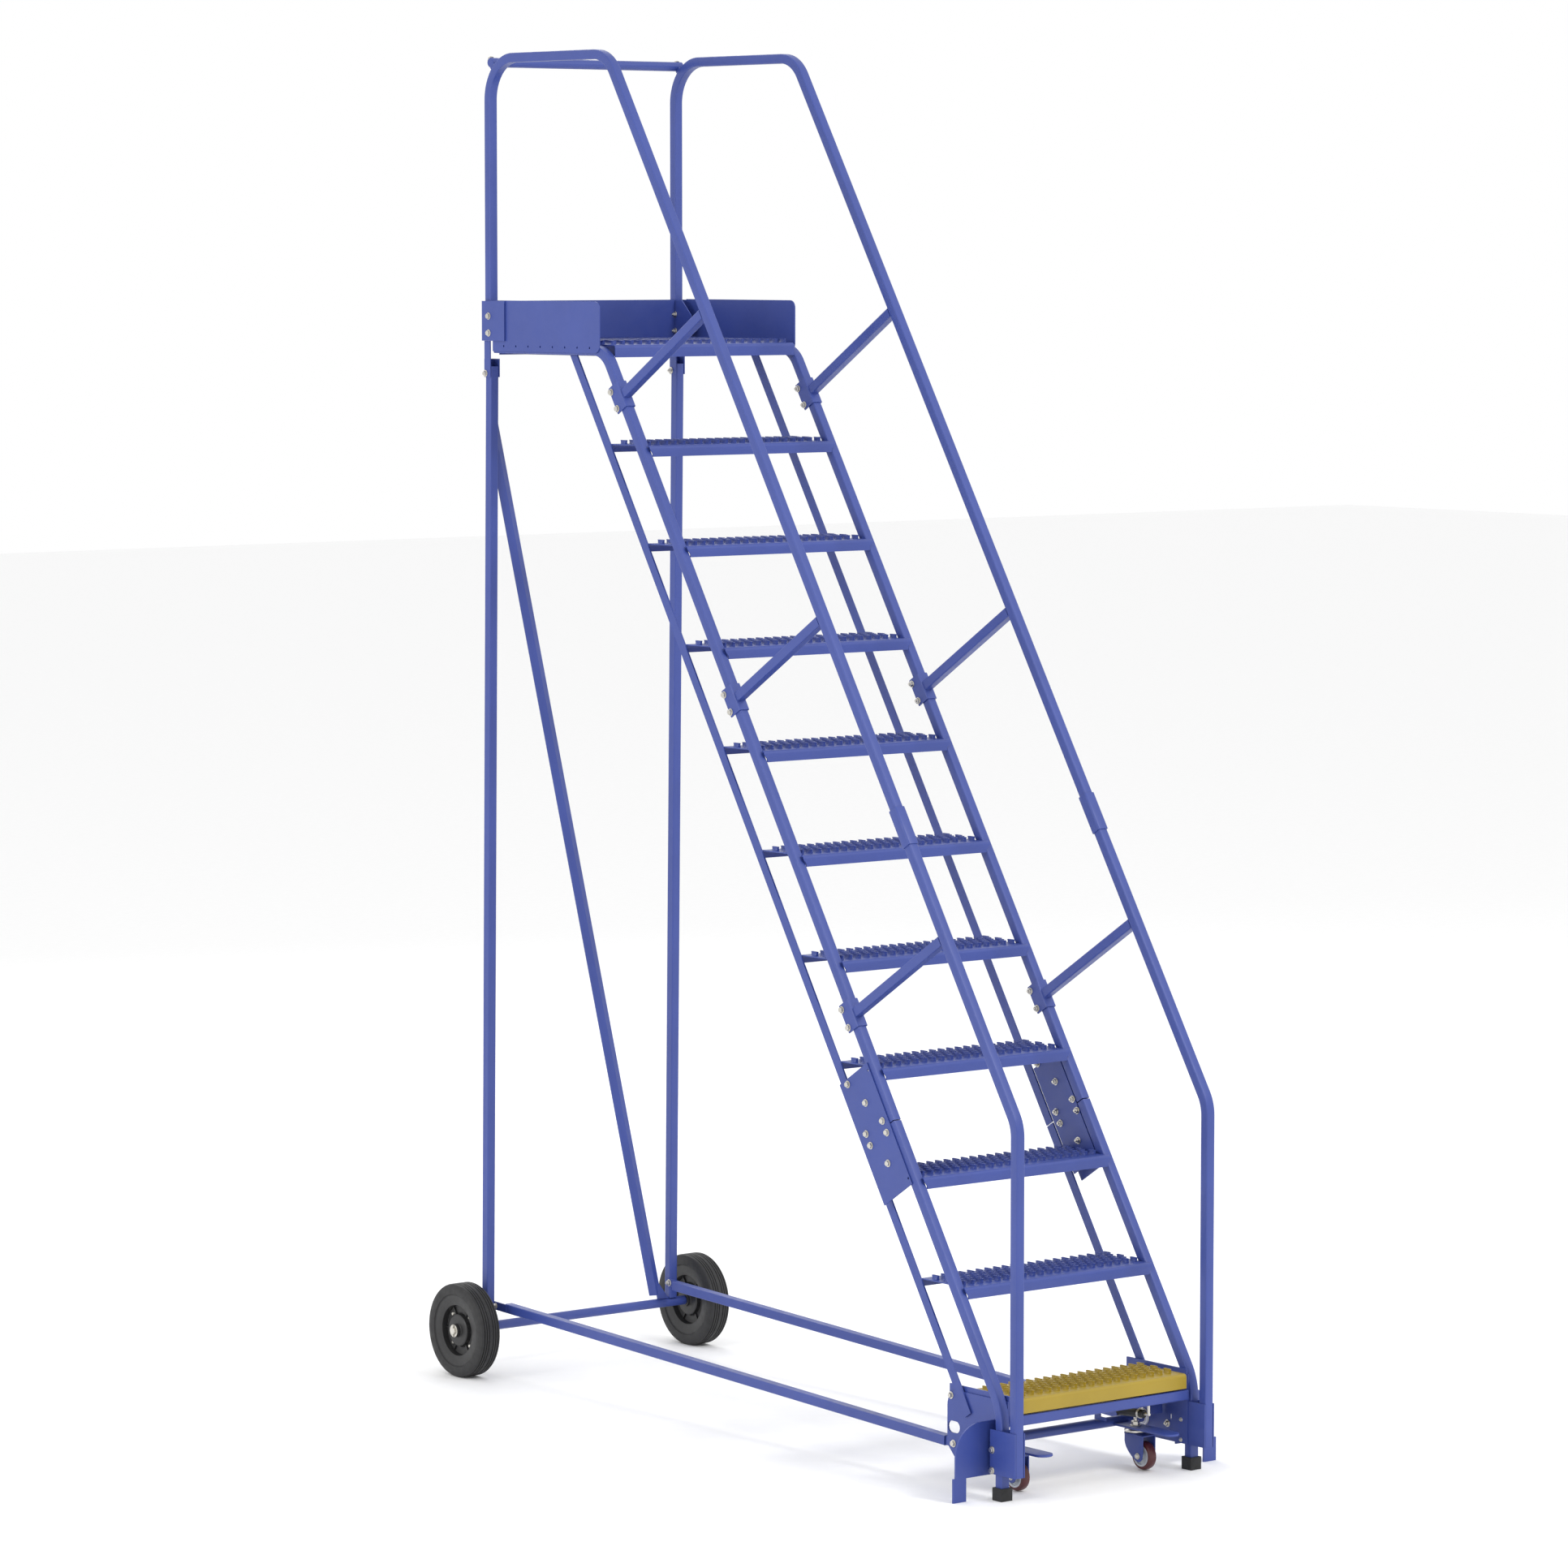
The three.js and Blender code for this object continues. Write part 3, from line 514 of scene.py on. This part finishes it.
def grip_field(x0, x1, y0, y1, top, rows):
    """Rows of pressed teeth in the middle of the tread, each row half a pitch from the next."""
    shape = box(x0, x1, y0, y1, top - SHEET, top)
    first = (y0 + y1 - (rows - 1) * PITCH_Y) / 2
    for row in range(rows):
        reach = x1 - PITCH_X / 2 - row % 2 * PITCH_X / 2
        count = int(2 * reach / PITCH_X) + 1
        start = (x0 + x1 - (count - 1) * PITCH_X) / 2
        for k in range(count):
            shape.merge(grip_tooth(start + k * PITCH_X, first + row * PITCH_Y, top - 0.05))
    return shape


def fold(front, direction, top, lip, half_width, ear=0.0):
    """A rounded nose and flange along x; direction is +1 where the tread lies behind it.

    An ear widens the flange towards the nose, so that it laps the stringers.
    """
    steps = 6
    foot = 8.0
    section = [(0.0, -lip), (0.0, foot - lip), (0.0, -NOSE)]
    for k in range(1, steps + 1):
        a = math.pi / 2 * k / steps
        section.append((NOSE - NOSE * math.cos(a), -NOSE + NOSE * math.sin(a)))
    section.append((NOSE + 1, 0.0))
    inside = [(NOSE + 1, -SHEET), (NOSE, -SHEET)]
    reach = NOSE - SHEET
    for k in range(1, steps + 1):
        a = math.pi / 2 * (1 - k / steps)
        inside.append((NOSE - reach * math.cos(a), -NOSE + reach * math.sin(a)))
    inside += [(SHEET, foot - lip), (SHEET, -lip)]
    rings = []
    for side in (-1, 1):
        ring = []
        for y, z in section + inside:
            rise = min(1.0, max(0.0, (z - foot + lip) / (lip - foot - NOSE)))
            ring.append((side * (half_width + ear * rise), front + direction * y, top + z))
        rings.append(ring)
    return loft(rings)


def tread(name, node, material, lip, rear_lip, half, ear=0.0, rows=STEP_ROWS, sunk=0.0):
    """One folded tread; sunk puts its sheet below the node's flat top, with the teeth above it."""
    low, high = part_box(node)
    front = (low.y - EDGE_Y) / MM
    rear = (high.y - EDGE_Y) / MM
    top = high.z / MM - sunk
    shape = grip_field(-half, half, front + NOSE + 1, rear - NOSE - 1, top, rows)
    shape.merge(fold(front, 1, top, lip, half, ear))
    shape.merge(fold(rear, -1, top, rear_lip, half))
    piece = make(name, shape, material)
    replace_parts(piece, node)


def treads():
    """Every step, the platform and the three ribs under the platform."""
    for level in range(2, LEVELS):
        tread(f"grip_step_{level}", f"step_{level}", BLUE, 29.0, 22.0, STEP_HALF,
              ear=FLANGE_EAR, sunk=STEP_SUNK)
    tread("grip_step_1", "bottom_step", YELLOW, 36.5, 21.5, BOTTOM_STEP_HALF,
          sunk=BOTTOM_STEP_SUNK)
    tread("grip_platform", "platform_deck", BLUE, LIP, LIP, STEP_HALF, rows=PLATFORM_ROWS)
    ribs = Shape()
    front = (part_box("platform_deck")[0].y - EDGE_Y) / MM
    rear = (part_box("platform_deck")[1].y - EDGE_Y) / MM
    low = PLATFORM_Z - LIP
    for x in (-190, 0, 190):
        ribs.merge(box(x - 20, x + 20, front + 3, rear - 3, low, low + SHEET))
        ribs.merge(box(x - 1.3, x + 1.3, front + 3, rear - 3, low + SHEET, PLATFORM_Z - SHEET))
    make("platform_ribs", ribs, BLUE)


# ---------------------------------------------------------------- wheels
def rear_wheels():
    """Solid grooved tyre on a black moulded hub with a deep dish each side."""
    radius = 127.0
    half_tyre = [(radius, 0.0)]
    for at in (6.5, 14.0, 21.5):
        half_tyre += [(radius, at - 1.6), (radius - 2, at - 1.0), (radius - 2, at + 1.0),
                      (radius, at + 1.6)]
    half_tyre += [(126.4, 26.0), (124.5, 29.0), (118.0, 31.4), (108.0, 32.0), (99.0, 31.0),
                  (97.5, 28.5), (95.0, 28.0)]
    tyre = [(r, -h) for r, h in half_tyre[:0:-1]] + half_tyre
    half_hub = [(96.0, 28.0), (90.0, 27.5), (72.0, 25.5), (69.0, 24.0), (66.5, 8.5), (64.0, 7.5),
                (48.0, 7.5), (45.5, 9.0), (43.0, 20.5), (40.0, 22.5), (20.0, 23.5), (18.5, 25.0),
                (18.0, 31.5), (17.0, 32.0), (10.5, 32.0)]
    hub = half_hub + [(r, -h) for r, h in half_hub[::-1]]
    for side, s in SIDES.items():
        node = f"rear_wheel_{side}"
        at = axes(centre_mm(node), (s, 0, 0))
        body = f"rear_wheel_body_{side}"
        rubber = Shape().merge(turned(tyre, 96, closed=True), at)
        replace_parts(make(f"tyre_{side}", rubber, TYRE, body, 28), node)
        core = turned(hub, 72, closed=True)
        for k in range(6):
            rib = box(44, 67, -2, 2, -12, 12)
            core.merge(rib, Matrix.Rotation(math.tau * k / 6, 4, "Z"))
        make(f"wheel_hub_{side}", Shape().merge(core, at), HUB, body, 28)
        for k in range(4):
            a = math.tau * (k + 0.5) / 4
            spot = Matrix.Translation((55 * math.cos(a), 55 * math.sin(a), 7.5))
            FASTENERS.setdefault(body, Shape()).merge(bolt_head(8.0, 3.0, 5.0), at @ spot)


def rear_axle():
    """Axle tube, with a spindle, a washer and a cotter pin at each end."""
    axle_at = centre_mm("rear_axle")
    tube = Shape().merge(rod(HALF, 716), axes(axle_at - Vector((358, 0, 0)), (1, 0, 0)))
    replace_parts(make("axle_tube", tube, BLUE), "rear_axle")
    for side, s in SIDES.items():
        start = axle_at + Vector((s * 357, 0, 0))
        fasten("frame", rod(9.5, 75), start, (s, 0, 0))
        washer = turned([(10.0, 0), (17.0, 0), (17.0, 2), (10.0, 2)], 32, closed=True)
        fasten("frame", washer, start + Vector((s * 67.5, 0, 0)), (s, 0, 0))
        pin = start + Vector((s * 71.5, 0, -16))
        fasten("frame", rod(1.6, 32, 0.4, 10), pin, (0, 0, 1))


def casters():
    """Caster wheels with a soft tread on a ribbed rim, their axle bolts and their forks."""
    wheel = [(36.0, 0.0), (35.8, 6.0), (34.6, 9.5), (32.0, 11.8), (27.0, 12.4)]
    tread_profile = [(r, -h) for r, h in wheel[:0:-1]] + wheel
    rim = [(27.4, 12.6), (25.0, 13.0), (22.5, 12.4), (21.5, 9.0), (12.0, 8.6), (9.5, 10.0),
           (9.0, 15.5), (4.8, 15.8)]
    rim_profile = rim + [(r, -h) for r, h in rim[::-1]]
    for side, s in SIDES.items():
        centre = centre_mm(f"caster_wheel_{side}")
        roller = f"caster_roller_{side}"
        at = axes(centre, (1, 0, 0))
        soft = Shape().merge(turned(tread_profile, 64, closed=True), at)
        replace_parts(make(f"caster_tread_{side}", soft, MAROON, roller), f"caster_wheel_{side}")
        hard = Shape().merge(turned(rim_profile, 48, closed=True), at)
        make(f"caster_rim_{side}", hard, GREY, roller)
        swivel = f"caster_swivel_{side}"
        for way in (-1, 1):
            cheek = centre + Vector((way * 22.2, 0, 0))
            fasten(swivel, bolt_head(11.0, 4.0, 8.0), cheek, (way, 0, 0))
        fork(side, s * PEDAL_X, centre, swivel)


def fork(side, x, centre, body):
    """Pressed fork: two legs that sweep forward to the axle, folded from one crown."""
    front = centre.y - 18
    rear = STEM_Y + 17
    outline = [(rear, FORK_TOP - 5)]
    for k in range(7):
        t = k / 6
        outline.append((rear - 6 * t - 30 * t * t, FORK_TOP - 22 - 42 * t))
    for k in range(9):
        a = math.radians(-60 - 120 * k / 8)
        outline.append((centre.y - 1 + 15 * math.cos(a), centre.z + 15 * math.sin(a)))
    outline += [(front, centre.z + 8), (front, FORK_TOP - 5)]
    shape = Shape()
    for way in (-1, 1):
        x0, x1 = sorted((x + way * 19, x + way * 22))
        shape.merge(loft([[(u, y, z) for y, z in outline] for u in (x0, x1)]))
    shape.merge(box(x - 22, x + 22, front, rear, FORK_TOP - 5.2, FORK_TOP - 2))
    crown = turned([(28.5, 0), (28.5, 2.4), (26.5, 3.4)], 40)
    shape.merge(crown, Matrix.Translation((x, STEM_Y, FORK_TOP - 3.4)))
    piece = make(f"fork_{side}", shape, BLUE, body, bevel=0.7)
    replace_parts(piece, f"caster_fork_{side}")
    fasten(body, rod(4.5, 44), (x - 22, centre.y, centre.z), (1, 0, 0))


# ---------------------------------------------------------------- lock-step
def lock_step():
    """Shaft with its two pedals, and the races, stem nuts and bushings on it."""
    shaft_axes = axes((-SHAFT_REACH, SHAFT_Y, SHAFT_Z), (1, 0, 0))
    shaft = Shape().merge(rod(HALF, 2 * SHAFT_REACH), shaft_axes)
    for s in SIDES.values():
        x = s * PEDAL_X
        outline = [(x - PEDAL_HALF, SHAFT_Y - 8), (x - PEDAL_HALF, PEDAL_NOSE_Y)]
        for k in range(1, 12):
            a = math.pi + math.pi * k / 12
            outline.append((x + PEDAL_HALF * math.cos(a), PEDAL_NOSE_Y + 24 * math.sin(a)))
        outline += [(x + PEDAL_HALF, PEDAL_NOSE_Y), (x + PEDAL_HALF, SHAFT_Y - 8)]
        shaft.merge(prism(outline, PEDAL_SHEET), Matrix.Translation((0, 0, PEDAL_BOTTOM)))
    piece = make("pedal_shaft", shaft, BLUE, "lock_step", bevel=0.8)
    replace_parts(piece, "lock_shaft")
    for side, s in SIDES.items():
        x = s * PEDAL_X
        race = turned([(12.0, 0.0), (27.0, 0.0), (28.5, 1.5), (28.5, 5.5), (26.0, 8.0), (24.0, 9.6),
                       (12.0, 9.6)], 48, closed=True)
        fasten("lock_step", race, (x, STEM_Y, 92.7), (0, 0, 1))
        stem_nut = nut_end(19.0, 11.0, 14.0, 7.0)
        fasten("lock_step", stem_nut, (x, STEM_Y, SHAFT_Z - 2), (0, 0, 1))
        bore = HALF + 0.2
        flange = [(bore, 0), (22.0, 0), (22.0, 5.0), (20.5, 6.5), (bore, 6.5)]
        bushing = turned(flange, 40, closed=True)
        place = axes((s * (SHAFT_REACH - 0.3), SHAFT_Y, SHAFT_Z), (-s, 0, 0))
        make(f"shaft_bushing_{side}", Shape().merge(bushing, place), WHITE)


# ---------------------------------------------------------------- fixed hardware
def crossbar():
    """Round bar behind the hoops, on saddles at the middle of each rear bend."""
    bend_y = POST_REAR_Y - REAR_BEND
    bend_z = RAIL_Z - REAR_BEND
    out = Vector((0, math.cos(math.pi / 4), math.sin(math.pi / 4)))
    seat = REAR_BEND + HALF + GAP
    distance = REAR_BEND + 2 * HALF + 5
    y = bend_y + distance * out.y
    z = bend_z + distance * out.z
    bar = Shape().merge(rod(HALF, 640, 1.5, 40), axes((-320, y, z), (1, 0, 0)))
    for s in SIDES.values():
        saddle = box(-10, 10, -9, 9, 0, 7)
        place = Matrix.Translation((s * SIDE_X, bend_y + seat * out.y, bend_z + seat * out.z))
        bar.merge(saddle, place @ Matrix.Rotation(-math.pi / 4, 4, "X"))
        fasten("frame", bolt_head(), Vector((s * SIDE_X, y, z)) + out * (HALF - 1), out)
    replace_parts(make("round_crossbar", bar, BLUE), "rear_crossbar")


def hardware():
    """Bolts and nuts along both sides of the frame."""
    cover_x = SIDE_X + HALF + GAP + PLATE
    backing_x = SIDE_X - HALF + 1.2
    clamp_x = SIDE_X + HALF + GAP + 3.2
    clamp_inner_x = SIDE_X - HALF - GAP - 3.2
    along = Vector((0, math.cos(ANGLE), math.sin(ANGLE)))
    behind = Vector((0, math.sin(ANGLE), -math.cos(ANGLE)))
    for s in SIDES.values():
        for ds, offset in SPLICE_BOLTS:
            y, z = on_slope(SPLICE_S + ds, offset)
            through_bolt(s * cover_x, s * backing_x, y, z)
        for level in (1, 2, 3):
            z = 375 + level * 3 * RISE
            middle = Vector((0, slope_y(STRINGER_OFFSET, z), z))
            for step in (-25, 25):
                at = middle + along * step + behind * (HALF + 8)
                through_bolt(s * clamp_x, s * clamp_inner_x, at.y, at.z)
        for z in (PLATFORM_Z + 25, PLATFORM_Z + 70):
            through_bolt(s * 331, s * 294.3, POST_REAR_Y - 15, z)
        for z in (72.3, 123.5):
            through_bolt(s * cover_x, s * (SIDE_X - HALF + 2), -126, z, across=11.0)
        through_bolt(s * 327.4, s * 295.4, 1979, 2711, across=11.0)
        through_bolt(s * BASE_X, s * 293, 65, 227, across=11.0)
        through_bolt(s * BASE_X, s * 287.9, 55, 107.5)
        through_bolt(s * 298.7, s * 294, 1992, 184)
        through_bolt(s * BASE_X, s * 293, -76, 107, across=11.0)


def return_spring():
    """The return spring in its black sleeve, hooked to the cross beam, and a plate beside it."""
    start = Vector((172, -28, 146))
    along = Vector((0, -96, 6))
    end = start + along
    sleeve = turned([(9, 0), (10.5, 1.5), (10.5, along.length - 1.5), (9, along.length)], 32)
    make("spring_sleeve", Shape().merge(sleeve, axes(start, along)), BLACK, bevel=0.6)
    fasten("frame", rod(4, 20, 1.0, 20), end, along)
    fasten("frame", rod(4, 27.5, 1.0, 20), end + Vector((0, -16, -0.5)), (0, 0, 1))
    strap = turned([(10.8, 0), (12.2, 0), (12.2, 7), (10.8, 7)], 32, closed=True)
    fasten("frame", strap, start + along * 0.8, along)
    screw = start + along * 0.88 + Vector((0, 0, 12))
    fasten("frame", bolt_head(8.0, 3.0, 6.0), screw, (0, 0, 1))
    outline = [(-24, 20), (30.7, 20), (30.7, -8), (-4, -8)]
    upright = Matrix.Translation((257, -60, 140)) @ Matrix.Rotation(math.pi / 2, 4, "X")
    plate = Shape().merge(prism(outline, 3.0), upright)
    make("spring_plate", plate, BLUE, bevel=0.5)


def carried_over():
    """CAD nodes that keep their own shape get the finished paint."""
    for name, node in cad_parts.items():
        if node.hide_render:
            continue
        node.data.materials.clear()
        node.data.materials.append(RUBBER if name.startswith("rubber_foot") else BLUE)


# ---------------------------------------------------------------- studio
LAMPS = (
    ("key", (2.0, -8.0, 8.0), 420.0, 2.5), ("fill", (-8.0, 0.0, 4.0), 160.0, 2.5),
    ("back", (2.0, 7.0, 6.0), 150.0, 5.0))
LAMP_AIM = Vector((0, 0, 1.6))
FLOOR_REACH = 40


def studio():
    """Plain pale floor, white surroundings and three soft lamps."""
    bpy.context.scene.view_settings.view_transform = "Standard"
    floor = bpy.data.meshes.new("floor")
    r = FLOOR_REACH
    floor.from_pydata([(-r, -r, 0), (r, -r, 0), (r, r, 0), (-r, r, 0)], [], [(0, 1, 2, 3)])
    floor.materials.append(FLOOR)
    plane = bpy.data.objects.new("floor", floor)
    bpy.context.collection.objects.link(plane)
    world = bpy.data.worlds.new("studio")
    world.use_nodes = True
    background = world.node_tree.nodes["Background"]
    background.inputs["Color"].default_value = (1.0, 1.0, 1.0, 1.0)
    background.inputs["Strength"].default_value = 1.0
    bpy.context.scene.world = world
    for name, place, energy, size in LAMPS:
        light = bpy.data.lights.new(name, "AREA")
        light.energy = energy
        light.size = size
        lamp = bpy.data.objects.new(name, light)
        lamp.location = place
        aim = LAMP_AIM - Vector(place)
        lamp.rotation_euler = aim.to_track_quat("-Z", "Y").to_euler()
        bpy.context.collection.objects.link(lamp)


def camera():
    """A long lens from the front left, about 3 m above the floor."""
    data = bpy.data.cameras.new("camera")
    data.lens = 139.3
    data.sensor_width = 36.0
    eye = bpy.data.objects.new("camera", data)
    eye.location = (-9.78108, -12.2332, 3.04946)
    eye.rotation_euler = (math.radians(84.936), 0.0, math.radians(-38.316))
    bpy.context.collection.objects.link(eye)
    bpy.context.scene.camera = eye


camera()
handrails()
stringers()
treads()
rear_wheels()
rear_axle()
casters()
lock_step()
crossbar()
hardware()
return_spring()
for holder, hardware_shape in FASTENERS.items():
    make(f"hardware_{holder}", hardware_shape, ZINC, holder, 35)
carried_over()
studio()
